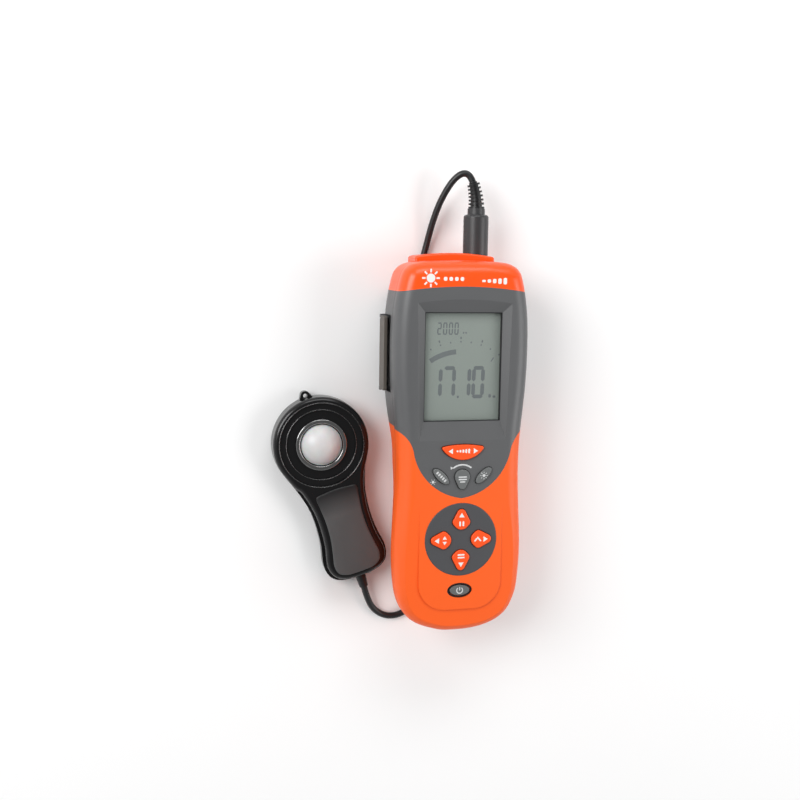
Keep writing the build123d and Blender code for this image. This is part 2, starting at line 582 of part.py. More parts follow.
parts["dome"] = dome()
ring = tube(14.1, 11.5, 13.6, bore=11.7)
parts["dome_ring"] = fillet(top_edges(ring), 0.6)
parts["light_filter"] = tube(8.4, 9.4, 10.6)
parts["photodiode"] = tube(4.2, 6.4, 8.6)
parts["probe_board"] = tube(11.5, 4.8, 6.4)
parts["probe_screws"] = Compound([screw(x, y, 0.4, 11.0, 2.1, 1.0) for x, y in PROBE_SCREWS])
parts["probe_boot"] = rod_y(2.9, (BOOT_Y[0] + 6, BOOT_Y[1]), 0, BOOT_Z) + rod_y(
    2.45, (BOOT_Y[0], BOOT_Y[0] + 6), 0, BOOT_Z, top_radius=2.9)

PROBE_NODES = [name for name in parts if name.startswith(("probe_", "dome", "light_", "photo"))]

# ---------------------------------------------------------------- cord
tip = RELIEF_TIP.position
boot_end = (PROBE_PLACE * Pos(0, BOOT_Y[0], BOOT_Z)).position
FLOOR = CORD_D / 2
MIDDLE = METER_X
ROUTE = [
    (tip.X + MIDDLE, tip.Y, tip.Z),
    (9.9 + MIDDLE, 143.4, 17.6), (5.7 + MIDDLE, 144.6, 16.4), (0.6 + MIDDLE, 139.8, 13.8),
    (-4.5 + MIDDLE, 129.5, 10.0), (-8.0 + MIDDLE, 117.5, 6.5), (-10.6 + MIDDLE, 103.5, 3.0),
    (-14.4 + MIDDLE, 88.0, FLOOR), (-20.0 + MIDDLE, 69.0, FLOOR), (-21.6 + MIDDLE, 46.0, FLOOR),
    (-20.0 + MIDDLE, 20.0, FLOOR), (-15.5 + MIDDLE, -8.0, FLOOR), (-10.6 + MIDDLE, -34.0, FLOOR),
    (-8.4 + MIDDLE, -58.0, FLOOR), (-8.8 + MIDDLE, -79.0, FLOOR), (-11.2 + MIDDLE, -94.5, FLOOR),
    (-18.5 + MIDDLE, -103.4, FLOOR), (-28.2 + MIDDLE, -105.6, FLOOR), (-36.6 + MIDDLE, -101.3, 2.6),
    (-41.4 + MIDDLE, -93.6, 4.8),
    (boot_end.X, boot_end.Y, boot_end.Z),
]


def arc_radii(points):
    """Each corner's radius: as large as its two runs allow."""
    radii = []
    for before, here, after in zip(points, points[1:], points[2:]):
        a, b = Vector(*here) - Vector(*before), Vector(*after) - Vector(*here)
        turn = radians(a.get_angle(b))
        radii.append(0.45 * min(a.length, b.length) / tan(turn / 2))
        print("turn %.0f deg, radius %.1f mm, run %.1f mm" % (degrees(turn), radii[-1], a.length))
    return radii


def cord():
    path = FilletPolyline(*ROUTE, radius=arc_radii(ROUTE))
    start = Vector(*ROUTE[1]) - Vector(*ROUTE[0])
    solid = sweep(Plane(origin=ROUTE[0], z_dir=start) * Circle(CORD_D / 2), path)
    length = sum(edge.length for edge in path.edges())
    print("cord length %.0f mm, volume %.0f, section x length %.0f" % (
        length, solid.volume, pi * CORD_D ** 2 / 4 * length))
    return solid


# ---------------------------------------------------------------- place and write
os.makedirs("parts", exist_ok=True)
for name, shape in parts.items():
    place = PROBE_PLACE if name in PROBE_NODES else METER_PLACE
    parts[name] = place * shape
parts["sensor_cord"] = cord()
for name, shape in parts.items():
    export_step(shape, "parts/%s.step" % name)
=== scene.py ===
"""Light meter and its corded probe: the camera, light, lead, markings and materials around the CAD parts.

Small shapes are drawn in millimetres about the meter's or the probe's own centre. The rest is in metres.
"""
import json
from math import atan2, cos, degrees, hypot, pi, radians, sin

import bmesh
import bpy
from mathutils import Matrix, Vector


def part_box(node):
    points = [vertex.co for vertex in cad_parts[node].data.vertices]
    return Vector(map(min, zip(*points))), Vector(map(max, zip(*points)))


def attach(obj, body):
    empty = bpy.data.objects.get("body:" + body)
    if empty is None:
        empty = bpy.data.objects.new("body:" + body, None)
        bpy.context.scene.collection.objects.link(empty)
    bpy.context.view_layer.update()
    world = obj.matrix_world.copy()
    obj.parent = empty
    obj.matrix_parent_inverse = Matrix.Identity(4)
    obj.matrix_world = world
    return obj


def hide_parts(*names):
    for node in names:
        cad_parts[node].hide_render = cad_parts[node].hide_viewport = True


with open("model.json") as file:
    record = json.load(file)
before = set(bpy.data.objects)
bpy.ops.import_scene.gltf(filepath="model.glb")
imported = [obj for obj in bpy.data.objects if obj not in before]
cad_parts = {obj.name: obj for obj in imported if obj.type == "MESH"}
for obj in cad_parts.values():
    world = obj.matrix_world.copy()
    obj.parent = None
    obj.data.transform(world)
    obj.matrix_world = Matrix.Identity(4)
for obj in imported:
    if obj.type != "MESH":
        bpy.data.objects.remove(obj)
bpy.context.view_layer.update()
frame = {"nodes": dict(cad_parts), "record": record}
NODES = frame["nodes"]

MM = 0.001
METER_X = 29.55              # the meter's centre plane
PROBE_CENTRE = (-39.95, -3.0)
PROBE_TURN = radians(17.3)
FACE_Z = 48.0                # display face
SEAM_Z = 35.0                # parting line of the shells
PAD_Y = -49.8                # centre of the arrow-key plate
PAD_OFFSET = 11.0            # arrow keys from the plate's centre
POWER_Y = -77.7

METER = Matrix.Translation((METER_X * MM, 0, 0))
PROBE = Matrix.Translation((PROBE_CENTRE[0] * MM, PROBE_CENTRE[1] * MM, 0)) @ Matrix.Rotation(
    PROBE_TURN, 4, "Z")

# ---------------------------------------------------------------- camera
CAMERA_PLACE = (-0.13653, 0.09764, 0.60234)
CAMERA_BACK = (-0.2293, 0.1255, 0.9652)
CAMERA_UP = (0.0145, 0.9920, -0.1255)


def link(obj):
    bpy.context.scene.collection.objects.link(obj)
    return obj


def make_camera():
    camera = link(bpy.data.objects.new("camera", bpy.data.cameras.new("camera")))
    back = Vector(CAMERA_BACK).normalized()
    right = Vector(CAMERA_UP).cross(back).normalized()
    turn = Matrix((right, back.cross(right), back)).transposed()
    camera.matrix_world = Matrix.Translation(CAMERA_PLACE) @ turn.to_4x4()
    camera.data.lens = 50
    camera.data.sensor_width = 36
    bpy.context.scene.camera = camera


make_camera()

# ---------------------------------------------------------------- lead
CORD_D = 0.0036              # thickness
CORD_ROUTE = [
    (0.04085, 0.1396, 0.0180), (0.03945, 0.1434, 0.0176), (0.03525, 0.1446, 0.0164),
    (0.03015, 0.1398, 0.0138), (0.02505, 0.1295, 0.0100), (0.02155, 0.1175, 0.0065),
    (0.01895, 0.1035, 0.0030), (0.01515, 0.0880, 0.0018), (0.00955, 0.0690, 0.0018),
    (0.00795, 0.0460, 0.0018), (0.00955, 0.0200, 0.0018), (0.01405, -0.0080, 0.0018),
    (0.01895, -0.0340, 0.0018), (0.02115, -0.0580, 0.0018), (0.02075, -0.0790, 0.0018),
    (0.01835, -0.0945, 0.0018), (0.01105, -0.1034, 0.0018), (0.00135, -0.1056, 0.0018),
    (-0.00705, -0.1013, 0.0026), (-0.01185, -0.0936, 0.0048), (-0.014376, -0.08511, 0.0065),
]


def make_cord():
    curve = bpy.data.curves.new("lead", "CURVE")
    curve.dimensions = "3D"
    spline = curve.splines.new("NURBS")
    spline.points.add(len(CORD_ROUTE) - 1)
    for point, place in zip(spline.points, CORD_ROUTE):
        point.co = (*place, 1)
        point.radius = CORD_D / 2
    spline.order_u = 3
    spline.use_endpoint_u = True
    spline.resolution_u = 16
    curve.bevel_depth = 1.0      # times each point's radius
    curve.bevel_resolution = 8
    curve.use_fill_caps = True
    cord = link(bpy.data.objects.new("lead", curve))
    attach(cord, "meter")
    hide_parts("sensor_cord")
    return cord


CORD = make_cord()


# ---------------------------------------------------------------- materials
class Nodes:
    """Small helper that adds and wires shader nodes of one material."""

    def __init__(self, name):
        self.material = bpy.data.materials.new(name)
        self.material.use_nodes = True
        self.tree = self.material.node_tree
        self.shader = self.tree.nodes["Principled BSDF"]
        self.coords = self.add("ShaderNodeTexCoord").outputs["Object"]

    def add(self, kind, inputs=None, **settings):
        node = self.tree.nodes.new(kind)
        for key, value in settings.items():
            setattr(node, key, value)
        for key, value in (inputs or {}).items():
            if isinstance(value, bpy.types.NodeSocket):
                self.tree.links.new(value, node.inputs[key])
            else:
                node.inputs[key].default_value = value
        return node

    def noise(self, size, detail):
        """Noise with features of about `size` metres."""
        inputs = {"Vector": self.coords, "Scale": 1 / size, "Detail": detail}
        return self.add("ShaderNodeTexNoise", inputs).outputs["Fac"]

    def remap(self, value, low, high, start=0.0, end=1.0):
        """`value` taken from the range start to end, to the range low to high."""
        node = self.add("ShaderNodeMapRange", {
            "Value": value, "From Min": start, "From Max": end, "To Min": low, "To Max": high})
        return node.outputs["Result"]

    def mix(self, factor, a, b):
        node = self.add("ShaderNodeMix", data_type="RGBA")
        for socket, value in ((node.inputs[0], factor), (node.inputs[6], a), (node.inputs[7], b)):
            if isinstance(value, bpy.types.NodeSocket):
                self.tree.links.new(value, socket)
            else:
                socket.default_value = value if isinstance(value, float) else (*value[:3], 1)
        return node.outputs[2]

    def math(self, operation, a, b=0.0):
        return self.add("ShaderNodeMath", {0: a, 1: b}, operation=operation).outputs[0]

    def axis(self, name):
        return self.add("ShaderNodeSeparateXYZ", {0: self.coords}).outputs[name]

    def bump(self, height, distance, strength=1.0, normal=None):
        inputs = {"Height": height, "Distance": distance, "Strength": strength}
        if normal:
            inputs["Normal"] = normal
        return self.add("ShaderNodeBump", inputs).outputs["Normal"]

    def set(self, **values):
        for key, value in values.items():
            socket = self.shader.inputs[key.replace("_", " ")]
            if isinstance(value, bpy.types.NodeSocket):
                self.tree.links.new(value, socket)
            else:
                socket.default_value = value
        return self.material


def shade(color, factor):
    """Lighter or darker version of a colour."""
    return tuple(min(1, part * factor) for part in color[:3]) + (1,)


EDGE_ROUND = 0.00035


def moulded(name, color, roughness, grain=0.00035, depth=0.00003, variation=0.05, edge=EDGE_ROUND,
            seam=False, specular=0.5, painted_shade_heights=None):
    """Moulded plastic or rubber: fine spark-eroded grain, faint mottling, softened edges."""
    n = Nodes(name)
    cloud = n.noise(0.02, 4)
    base = n.mix(cloud, shade(color, 1 - variation), shade(color, 1 + variation))
    if seam:  # dark line where the two shells meet
        off = n.math("ABSOLUTE", n.math("SUBTRACT", n.axis("Z"), SEAM_Z * MM))
        base = n.mix(n.remap(off, 0.0, 1.0, 0.00008, 0.00022), shade(color, 0.25), base)
    if painted_shade_heights:  # painted shade: darker towards the foot of the piece, between the two heights, for the shadow in the gap around a key
        base = n.mix(n.remap(n.axis("Z"), 0.0, 1.0, *painted_shade_heights), shade(color, 0.35), base)
    rounded = n.add("ShaderNodeBevel", {"Radius": edge}, samples=4).outputs["Normal"]
    normal = n.bump(n.noise(grain, 2), depth, 0.6, rounded)
    uneven = n.noise(0.004, 3)
    return n.set(Base_Color=base, Roughness=n.remap(uneven, roughness - 0.05, roughness + 0.05),
                 Normal=normal, Specular_IOR_Level=specular)


def metal(name, color, roughness):
    """Plated or turned metal with a fine speckle."""
    n = Nodes(name)
    speckle = n.noise(0.0006, 4)
    base = n.mix(speckle, shade(color, 0.88), shade(color, 1.06))
    rounded = n.add("ShaderNodeBevel", {"Radius": 0.0001}, samples=4).outputs["Normal"]
    normal = n.bump(n.noise(0.0002, 2), 0.00001, 0.4, rounded)
    return n.set(Base_Color=base, Metallic=1.0, Normal=normal,
                 Roughness=n.remap(speckle, roughness - 0.05, roughness + 0.08))


def clear(name, color, alpha):
    """Thin clear window that lets the light through and keeps its gloss, with faint smears."""
    n = Nodes(name)
    n.material.surface_render_method = "BLENDED"
    return n.set(Base_Color=(*color, 1), Alpha=alpha, Roughness=n.remap(n.noise(0.012, 3), 0.03, 0.07))


def lcd_material():
    """Reflective liquid-crystal cell: grey-green, a little darker towards its lower left."""
    n = Nodes("lcd_cell")
    along = n.remap(n.math("ADD", n.axis("X"), n.axis("Y")), 0.0, 1.0, 0.02, 0.12)
    base = n.mix(along, (0.140, 0.172, 0.151), (0.172, 0.206, 0.182))
    fine = n.noise(0.0004, 1)
    return n.set(Base_Color=n.mix(n.remap(fine, 0.0, 0.12), base, (0.3, 0.33, 0.3)), Roughness=0.42,
                 Specular_IOR_Level=0.3)


def dome_material():
    """Opal diffuser: white, slightly translucent, soft gloss."""
    n = Nodes("dome_opal")
    base = n.mix(n.noise(0.003, 2), (0.60, 0.60, 0.60), (0.66, 0.66, 0.66))
    return n.set(Base_Color=base, Roughness=n.remap(n.noise(0.001, 2), 0.32, 0.42), Subsurface_Weight=0.25,
                 Subsurface_Scale=0.002, Coat_Weight=0.15, Coat_Roughness=0.2)


def satin_material():
    """Satin pad that darkens into the gloss of the case towards the probe's head."""
    n = Nodes("handle_satin")
    across = n.math("MULTIPLY", n.math("SUBTRACT", n.axis("X"), PROBE_CENTRE[0] * MM), -sin(PROBE_TURN))
    along = n.math("MULTIPLY", n.math("SUBTRACT", n.axis("Y"), PROBE_CENTRE[1] * MM), cos(PROBE_TURN))
    fade = n.remap(n.math("ADD", across, along), 0.0, 1.0, -0.040, -0.027)
    cloud = n.noise(0.02, 3)
    satin = n.mix(cloud, (0.070, 0.070, 0.071), (0.098, 0.098, 0.099))
    normal = n.bump(n.noise(0.0006, 2), 0.00006, 0.6)
    return n.set(Base_Color=n.mix(fade, satin, (0.008, 0.008, 0.009)), Roughness=0.45, Normal=normal)


def board_material():
    """Circuit board: green lacquer over faint copper traces."""
    n = Nodes("board_green")
    bricks = n.add("ShaderNodeTexBrick", {"Vector": n.coords, "Scale": 220.0, "Mortar Size": 0.04})
    base = n.mix(bricks.outputs["Fac"], (0.01, 0.10, 0.045), (0.03, 0.20, 0.09))
    return n.set(Base_Color=base, Roughness=0.35)


def printed(name, color, roughness=0.45):
    """Printed ink, slightly uneven in cover."""
    n = Nodes(name)
    base = n.mix(n.noise(0.0006, 3), shade(color, 0.93), shade(color, 1.03))
    return n.set(Base_Color=base, Roughness=roughness)


CAP_ORANGE = (0.95, 0.085, 0.004)
GRIP_ORANGE = (0.92, 0.110, 0.004)
KEY_ORANGE = (0.95, 0.085, 0.006)
CASE_GRAY = (0.097, 0.099, 0.102)
PLATE_GRAY = (0.064, 0.065, 0.070)
KEY_GRAY = (0.135, 0.142, 0.142)
BLACK = (0.008, 0.008, 0.009)
WHITE = (0.82, 0.82, 0.80)
LCD_INK = (0.028, 0.042, 0.050)

MATERIALS = {
    "case_gray": moulded("case_gray", CASE_GRAY, 0.42, seam=True),
    "plate_gray": moulded("plate_gray", PLATE_GRAY, 0.45, grain=0.0003),
    "grip_orange": moulded("grip_orange", GRIP_ORANGE, 0.5, grain=0.00045, depth=0.00004,
                           variation=0.025, seam=True),
    # no shader rounding here: it draws a false line where the cap's face meets its rounded edge
    "cap_orange": moulded("cap_orange", CAP_ORANGE, 0.30, depth=0.000015, variation=0.02, edge=0.0,
                          seam=True),
    # painted shade on the lower sides of the keys, for the shadow in the gaps around them
    "key_orange": moulded("key_orange", KEY_ORANGE, 0.40, depth=0.000015, variation=0.02, edge=0.0003,
                          painted_shade_heights=(0.0478, 0.0488)),
    "key_gray": moulded("key_gray", KEY_GRAY, 0.40, depth=0.000015, edge=0.0003, painted_shade_heights=(0.0470, 0.0482)),
    "lens_clear": clear("lens_clear", (0.9, 0.95, 0.92), 0.06),
    "lcd_glass": lcd_material(),
    "white_plastic": moulded("white_plastic", (0.8, 0.8, 0.78), 0.35),
    "black_plastic": moulded("black_plastic", BLACK, 0.4),
    "plug_gray": moulded("plug_gray", (0.032, 0.032, 0.034), 0.38, grain=0.0003),
    "cover_brown": moulded("cover_brown", (0.098, 0.085, 0.072), 0.5),
    "soft_rubber": moulded("soft_rubber", (0.5, 0.5, 0.48), 0.55),
    "foot_rubber": moulded("foot_rubber", (0.02, 0.02, 0.02), 0.65, grain=0.0006, depth=0.00005),
    "cord_black": moulded("cord_black", BLACK, 0.36, grain=0.0005, depth=0.00003, edge=0.0001),
    "board_green": board_material(),
    "steel": metal("steel", (0.56, 0.56, 0.55), 0.3),
    "brass": metal("brass", (0.78, 0.56, 0.25), 0.3),
    "battery_sleeve": moulded("battery_sleeve", (0.05, 0.05, 0.06), 0.3),
    "probe_gloss": moulded("probe_gloss", (0.005, 0.005, 0.0055), 0.20, depth=0.000008, specular=0.45),
    "dome_white": dome_material(),
    "ring_bright": metal("ring_bright", (0.36, 0.36, 0.36), 0.14),
    "filter_green": clear("filter_green", (0.45, 0.65, 0.5), 0.5),
    "photodiode_dark": moulded("photodiode_dark", (0.03, 0.03, 0.06), 0.15),
}
SATIN = satin_material()
# pale metal for the painted glints along the edges of the probe head's steps
GLINT_BEAD_METAL = metal("bead_and_glint", (0.16, 0.16, 0.16), 0.25)
INK_WHITE = printed("ink_white", WHITE)
INK_PALE = printed("ink_pale", (0.62, 0.63, 0.63))
INK_LCD = printed("ink_lcd", LCD_INK, 0.5)
INK_LCD_FAINT = printed("ink_lcd_faint", (0.042, 0.056, 0.062), 0.5)

FLAT_NODES = {"lcd_panel", "display_lens", "backlight_panel", "main_board", "port_board"}


def dress_cad_nodes():
    """Give each CAD node its material, and all but the flat ones smooth shading inside each of their faces.
    """
    for part in frame["record"]["subparts"]:
        node = NODES[part["node"]]
        node.data.materials.clear()
        node.data.materials.append(MATERIALS[part["material_slot"]])
        if part["node"] not in FLAT_NODES:
            node.data.polygons.foreach_set("use_smooth", [True] * len(node.data.polygons))


dress_cad_nodes()
CORD.data.materials.append(MATERIALS["cord_black"])


# ---------------------------------------------------------------- mesh helpers
def piece(name, bm, material, body, place=METER, smooth=False):
    """Object from a bmesh drawn in millimetres about the meter's or the probe's own centre."""
    bmesh.ops.recalc_face_normals(bm, faces=bm.faces)
    bmesh.ops.transform(bm, matrix=place @ Matrix.Scale(MM, 4), verts=bm.verts)
    mesh = bpy.data.meshes.new(name)
    bm.to_mesh(mesh)
    bm.free()
    mesh.polygons.foreach_set("use_smooth", [smooth] * len(mesh.polygons))
    mesh.materials.append(material)
    obj = link(bpy.data.objects.new(name, mesh))
    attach(obj, body)
    return obj


def slab(bm, outline, low, high, hole=None):
    """Prism of a closed outline, with an optional hole outline of as many points."""
    rings = [[bm.verts.new((x, y, z)) for x, y in points]
             for points in filter(None, (outline, hole)) for z in (low, high)]
    count = len(outline)
    outer_low, outer_high = rings[:2]
    loops = [(outer_low, outer_high)]
    if hole:
        loops = [(rings[0], rings[1]), (rings[3], rings[2]), (rings[1], rings[3]), (rings[2], rings[0])]
    for first, second in loops:
        for i in range(count):
            j = (i + 1) % count
            bm.faces.new((first[i], first[j], second[j], second[i]))
    if not hole:
        bm.faces.new(outer_high)
        bm.faces.new(outer_low[::-1])


def moved(points, x=0.0, y=0.0, turn=0.0):
    """Outline turned about the origin, then shifted."""
    return [(x + px * cos(turn) - py * sin(turn), y + px * sin(turn) + py * cos(turn)) for px, py in points]


def bar(x, y, width, height, round_off=0.35, turn=0.0):
    """Rounded bar about (x, y)."""
    narrow = min(width, height)
    corner = min(narrow * round_off, narrow / 2 - 0.001)
    points = []
    for i, (sx, sy) in enumerate(((1, 1), (-1, 1), (-1, -1), (1, -1))):
        for step in range(4):
            angle = (i + step / 3) * pi / 2
            points.append((sx * (width / 2 - corner) + corner * cos(angle),
                           sy * (height / 2 - corner) + corner * sin(angle)))
    return moved(points, x, y, turn)


def disc(x, y, radius, count=32):
    turns = [2 * pi * i / count for i in range(count)]
    return [(x + radius * cos(a), y + radius * sin(a)) for a in turns]


def sector(x, y, inner, outer, start, end, count=16):
    """Ring sector, its angles in degrees."""
    angles = [radians(start + (end - start) * i / count) for i in range(count + 1)]
    return [(x + outer * cos(a), y + outer * sin(a)) for a in angles] + [
        (x + inner * cos(a), y + inner * sin(a)) for a in reversed(angles)]


def arrow(x, y, size, turn):
    """Triangle that points along `turn`, in degrees from +X."""
    tip, foot = size * 0.62, -size * 0.38
    return moved([(tip, 0), (foot, tip), (foot, -tip)], x, y, radians(turn))


def marks(name, outlines, low, thickness, material, body, place=METER, rings=()):
    """Thin printed or inlaid shapes; `rings` are (outer, inner) outline pairs."""
    bm = bmesh.new()
    for outline in outlines:
        slab(bm, outline, low, low + thickness)
    for outer, inner in rings:
        slab(bm, outer, low, low + thickness, hole=inner)
    return piece(name, bm, material, body, place)


# ---------------------------------------------------------------- display
LCD_Z = 42.11                # just above the cell's glass
LCD_THICK = 0.05
SEGMENTS = {"0": "abcdef", "1": "bc", "2": "abged", "7": "abc"}
LEAN = 0.03                  # slant of the digits


def segment_digit(digit, x, y, width, height, thick):
    """Seven-segment digit whose lower left corner is (x, y)."""
    gap = thick * 0.10
    half = height / 2

    def across(at):
        a, b = gap + thick * 0.15, width - gap - thick * 0.15
        return [(a, at), (a + thick / 2, at + thick / 2), (b - thick / 2, at + thick / 2), (b, at),
                (b - thick / 2, at - thick / 2), (a + thick / 2, at - thick / 2)]

    def upright(at, low, high):
        low, high = low + gap + thick * 0.1, high - gap - thick * 0.1
        return [(at, low), (at + thick / 2, low + thick / 2), (at + thick / 2, high - thick / 2), (at, high),
                (at - thick / 2, high - thick / 2), (at - thick / 2, low + thick / 2)]

    t = thick / 2
    shapes = {
        "a": across(height - t), "g": across(half), "d": across(t),
        "f": upright(t, half, height - t), "b": upright(width - t, half, height - t),
        "e": upright(t, t, half), "c": upright(width - t, t, half),
    }
    return [[(x + px + LEAN * py, y + py) for px, py in shapes[key]] for key in SEGMENTS[digit]]


SCALE_CENTRE = (-0.4, 20.0)
SCALE_RADIUS = 35.2
SCALE_START, SCALE_STEP = 127, 9.2       # degrees
LEVEL_START, LEVEL_END = (-17.0, 45.0), (-3.1, 50.3)
LEVEL_HALF_WIDTH = 1.3


def on_scale(angle, radius):
    """Point on the bar scale, `angle` degrees from +X."""
    return (SCALE_CENTRE[0] + radius * cos(radians(angle)), SCALE_CENTRE[1] + radius * sin(radians(angle)))


def level_bar():
    """The filled part of the scale."""
    arms = [(x - SCALE_CENTRE[0], y - SCALE_CENTRE[1]) for x, y in (LEVEL_START, LEVEL_END)]
    start, end = (degrees(atan2(rise, run)) for run, rise in arms)
    radius = hypot(*arms[0])
    return sector(*SCALE_CENTRE, radius - LEVEL_HALF_WIDTH, radius + LEVEL_HALF_WIDTH, start, end)


def display_marks():
    """Reading, range, scale and small unit marks of the display."""
    large, small = [], []
    for digit, x in zip("1710", (-17.6, -10.3, -1.9, 5.6)):
        large += segment_digit(digit, x, 25.1, 7.0, 17.2, 2.0)
    large.append(bar(-1.6, 26.0, 1.1, 1.3))
    for digit, x in zip("2000", (-13.6, -10.5, -7.4, -4.3)):
        small += segment_digit(digit, x, 58.9, 2.3, 6.4, 0.65)
    ticks = []
    for i in range(9):
        angle = SCALE_START - i * SCALE_STEP
        ticks.append(bar(*on_scale(angle, SCALE_RADIUS), 0.9, 0.7, turn=radians(angle)))
        if i % 2 == 0:
            ticks.append(bar(*on_scale(angle, SCALE_RADIUS + 2.0), 0.8, 1.3, turn=radians(angle - 90)))
    ticks.append(bar(*on_scale(56, SCALE_RADIUS - 4.2), 2.6, 0.5, turn=radians(56)))
    units = [bar(16.0, 26.3, 1.4, 1.9), bar(18.4, 25.9, 1.6, 1.2)]
    units += [bar(0.8, 59.9, 0.8, 0.9), bar(2.2, 59.9, 0.8, 0.9)]
    marks("display_digits", large, LCD_Z, LCD_THICK, INK_LCD, "meter")
    marks("display_small_digits", small, LCD_Z, LCD_THICK, INK_LCD, "meter")
    marks("display_level_bar", [level_bar()], LCD_Z, LCD_THICK, INK_LCD_FAINT, "meter")
    marks("display_scale", ticks + units, LCD_Z, LCD_THICK, INK_LCD_FAINT, "meter")


WINDOW = (41.9, 57.3)        # width and height
DISPLAY_Y = 42.1             # its centre
SHADE_LINER_Z = 43.42


def display_window_shade_liner():
    """Thin black liner on the walls of the display window: painted shade where the walls fall in shadow."""
    outer = bar(0, DISPLAY_Y, WINDOW[0] - 0.04, WINDOW[1] - 0.04, 0.01)
    inner = bar(0, DISPLAY_Y, WINDOW[0] - 0.7, WINDOW[1] - 0.7, 0.01)
    marks("display_window_shade_liner", [], SHADE_LINER_Z, 1.7, MATERIALS["black_plastic"], "meter",
          rings=[(outer, inner)])


display_marks()
display_window_shade_liner()

# ---------------------------------------------------------------- printed symbols
INK_RISE = 0.05              # thickness of a printed mark
CAP_MARK = (-19.0, 88.4)


def cap_marks():
    """Sun symbol and two rows of plain level blocks."""
    x, y = CAP_MARK
    turns = [i * pi / 4 for i in range(8)]
    shapes = [disc(x, y, 2.3)] + [bar(x + 3.8 * cos(a), y + 3.8 * sin(a), 1.9, 0.9, turn=a) for a in turns]
    shapes += [bar(-11.2 + 3.0 * i, y - 0.3, 1.9, 2.0) for i in range(4)]
    shapes += [bar(9.5 + 2.9 * i, y - 1.2, 1.9, 1.2 + 0.55 * i) for i in range(5)]
    marks("cap_symbols", shapes, FACE_Z - 0.01, INK_RISE, INK_WHITE, "meter")


def case_marks():
    """Arched line over the middle key, and a lamp symbol beside the left one."""
    arch = [sector(0, -17.1, 7.3, 8.1, 50, 130), arrow(-5.9, -11.1, 1.4, 245)]
    lamp = [disc(-15.9, -18.3, 0.75, 16)]
    lamp += [bar(-15.9 + 1.35 * cos(a), -18.3 + 1.35 * sin(a), 0.55, 0.28, turn=a) for a in
             (i * pi / 3 for i in range(6))]
    marks("case_symbols", arch + lamp, FACE_Z - 0.01, INK_RISE, INK_PALE, "meter")


# chevron on the right arrow key, in the key's own axes
PEAK = [(-1.5, 0), (0.8, -2.1), (1.3, -1.45), (-0.35, 0), (1.3, 1.45), (0.8, 2.1)]


def key_symbols():
    """Each key's symbol, in the key's own axes, with +Y towards its point."""
    pad = (0, PAD_Y)
    sun = [disc(0, 0, 0.8, 16)] + [bar(1.7 * cos(a), 1.7 * sin(a), 0.7, 0.35, turn=a) for a in
                                   (i * pi / 4 for i in range(8))]
    return {
        "range_key": (0, -1.9, 0, [arrow(-6.6, 0, 2.3, 180), arrow(6.6, 0, 2.3, 0)] + [
            bar(-3.2 + 1.6 * i, 0, 1.0, 1.0 + 0.35 * i) for i in range(5)], INK_WHITE),
        "log_key": (-11.7, -15.3, -45, [bar(-3.0 + 1.5 * i, 0, 0.9, 1.6) for i in range(5)], INK_PALE),
        "memory_key": (0, -16.6, 0, [bar(0, 0.8, 4.6, 0.7), bar(0, -0.5, 4.6, 0.7),
                                     bar(0, -1.8, 2.8, 0.7)], INK_PALE),
        "set_key": (11.7, -15.3, 45, sun, INK_PALE),
        "up_key": (*pad, 0, [arrow(0, PAD_OFFSET + 2.2, 2.4, 90), bar(-0.9, PAD_OFFSET - 2.2, 0.9, 2.6),
                             bar(0.9, PAD_OFFSET - 2.2, 0.9, 2.6)], INK_WHITE),
        "left_key": (*pad, 90, [arrow(0, PAD_OFFSET + 2.2, 2.4, 90), arrow(1.3, PAD_OFFSET - 1.8, 1.8, 0),
                                arrow(-1.3, PAD_OFFSET - 1.8, 1.8, 180)], INK_WHITE),
        "down_key": (*pad, 180, [arrow(0, PAD_OFFSET + 2.2, 2.4, 90), bar(0, PAD_OFFSET - 1.4, 3.8, 0.8),
                                 bar(0, PAD_OFFSET - 2.9, 3.8, 0.8)], INK_WHITE),
        "right_key": (*pad, -90, [arrow(0, PAD_OFFSET + 2.2, 2.4, 90),
                                  moved(PEAK, 0, PAD_OFFSET - 1.9)], INK_WHITE),
        "power_key": (0, POWER_Y, 0, [sector(0, 0, 1.35, 1.9, -235, 55), bar(0, 0.9, 0.5, 1.9)], INK_PALE),
    }


def key_marks():
    for key, (x, y, turn, shapes, ink) in key_symbols().items():
        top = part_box(key)[1].z / MM
        placed = [moved(shape, x, y, radians(turn)) for shape in shapes]
        marks(key + "_symbol", placed, top - 0.01, INK_RISE, ink, key)


def power_key_bezel():
    """Black ring on the floor of the recess around the power key."""
    ring = [[(a * cos(2 * pi * i / 48), POWER_Y + b * sin(2 * pi * i / 48)) for i in range(48)]
            for a, b in ((6.85, 4.05), (5.85, 3.25))]
    marks("power_key_bezel", [], FACE_Z - 1.02, 0.25, MATERIALS["black_plastic"], "meter",
          rings=[ring])


cap_marks()
case_marks()
key_marks()
power_key_bezel()


# ---------------------------------------------------------------- probe details
def bead_and_glint(name, radius, z, wire, material):
    """Thin round bead around the probe's head; the pale metal ones are painted glints along the edges of the
    head's steps.
    """
    bm = bmesh.new()
    around, section = 96, 10
    rows = []
    for turn in (2 * pi * i / around for i in range(around)):
        ring = [(radius + wire * cos(2 * pi * j / section), z + wire * sin(2 * pi * j / section))
                for j in range(section)]
        rows.append([bm.verts.new((out * cos(turn), out * sin(turn), height)) for out, height in ring])
    for i in range(around):
        for j in range(section):
            a, b = rows[i], rows[(i + 1) % around]
            bm.faces.new((a[j], b[j], b[(j + 1) % section], a[(j + 1) % section]))
    return piece(name, bm, material, "meter", PROBE, smooth=True)


